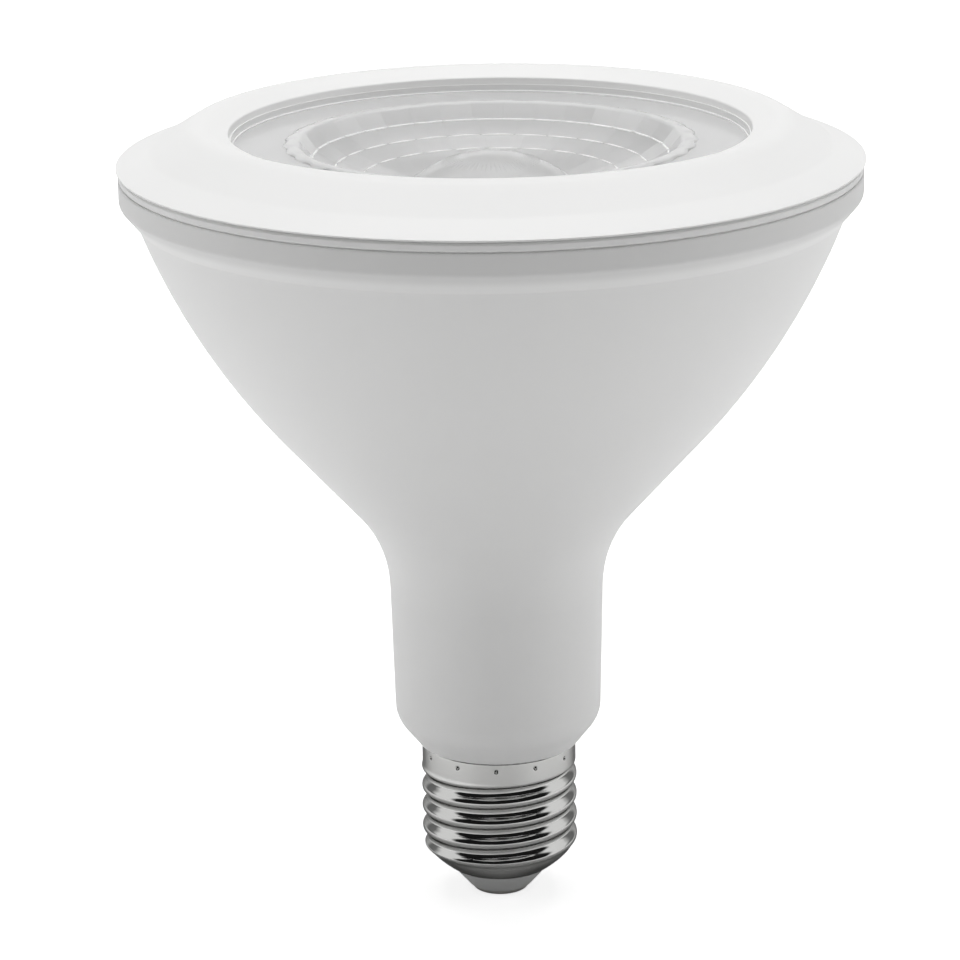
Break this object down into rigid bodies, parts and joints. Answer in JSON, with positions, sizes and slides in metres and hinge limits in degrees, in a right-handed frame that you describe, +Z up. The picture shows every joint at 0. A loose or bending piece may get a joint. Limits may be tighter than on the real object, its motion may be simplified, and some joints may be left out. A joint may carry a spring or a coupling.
{
  "type": "par spotlight bulb",
  "caption": "White reflector spotlight lamp with a recessed clear faceted optic, a flared plastic body and a plated screw cap.",
  "frame": {"origin": "centre of the centre contact's flat tip", "axes": "+Z up the lamp's axis, from the cap to the front lens; +Y across it and away from the viewer of the picture, +X across it and to the viewer's right"},
  "size_m": [0.1214, 0.1214, 0.1337],
  "materials": {
    "white_shell": "smooth satin white thermoplastic",
    "clear_optic": "clear moulded polycarbonate, polished facets",
    "sink_metal": "pressed aluminium sheet with a matte white coat",
    "pad_grey": "soft thermal pad",
    "board_white": "white solder mask",
    "phosphor": "light-giving patch under a silicone dome",
    "screw_steel": "plated",
    "terminal_plastic": "white moulded",
    "board_green": "solder mask over laminate",
    "sleeve_black": "shrunk sleeve over an aluminium can",
    "film_box": "moulded box",
    "varistor_coat": "dipped epoxy",
    "resistor_coat": "baked coating",
    "ferrite": "sintered, matte",
    "winding_tape": "polyester tape over the winding",
    "package_black": "moulded epoxy",
    "lead_black": "insulated wire",
    "lead_white": "insulated wire",
    "lead_red": "insulated wire",
    "cap_plate": "nickel-plated rolled sheet, bright",
    "insulator_grey": "pale grey insulating cone",
    "contact_metal": "nickel-plated button"
  },
  "bodies": {
    "root": {"bezel_ring": "white_shell", "front_lens": "clear_optic", "housing": "white_shell", "heat_sink": "sink_metal", "thermal_pad": "pad_grey", "led_board": "board_white", "led_array": "phosphor", "board_screws": "screw_steel", "lead_terminal": "terminal_plastic", "driver_board": "board_green", "bulk_capacitor": "sleeve_black", "output_capacitor": "sleeve_black", "film_capacitor": "film_box", "varistor": "varistor_coat", "fusible_resistor": "resistor_coat", "filter_choke": "ferrite", "transformer_core": "ferrite", "transformer_winding": "winding_tape", "bridge_rectifier": "package_black", "driver_chip": "package_black", "output_diode": "package_black", "chip_resistors": "package_black", "live_lead": "lead_black", "neutral_lead": "lead_white", "positive_lead": "lead_red", "negative_lead": "lead_black", "screw_shell": "cap_plate", "cap_insulator": "insulator_grey", "centre_contact": "contact_metal"}
  },
  "joints": []
}
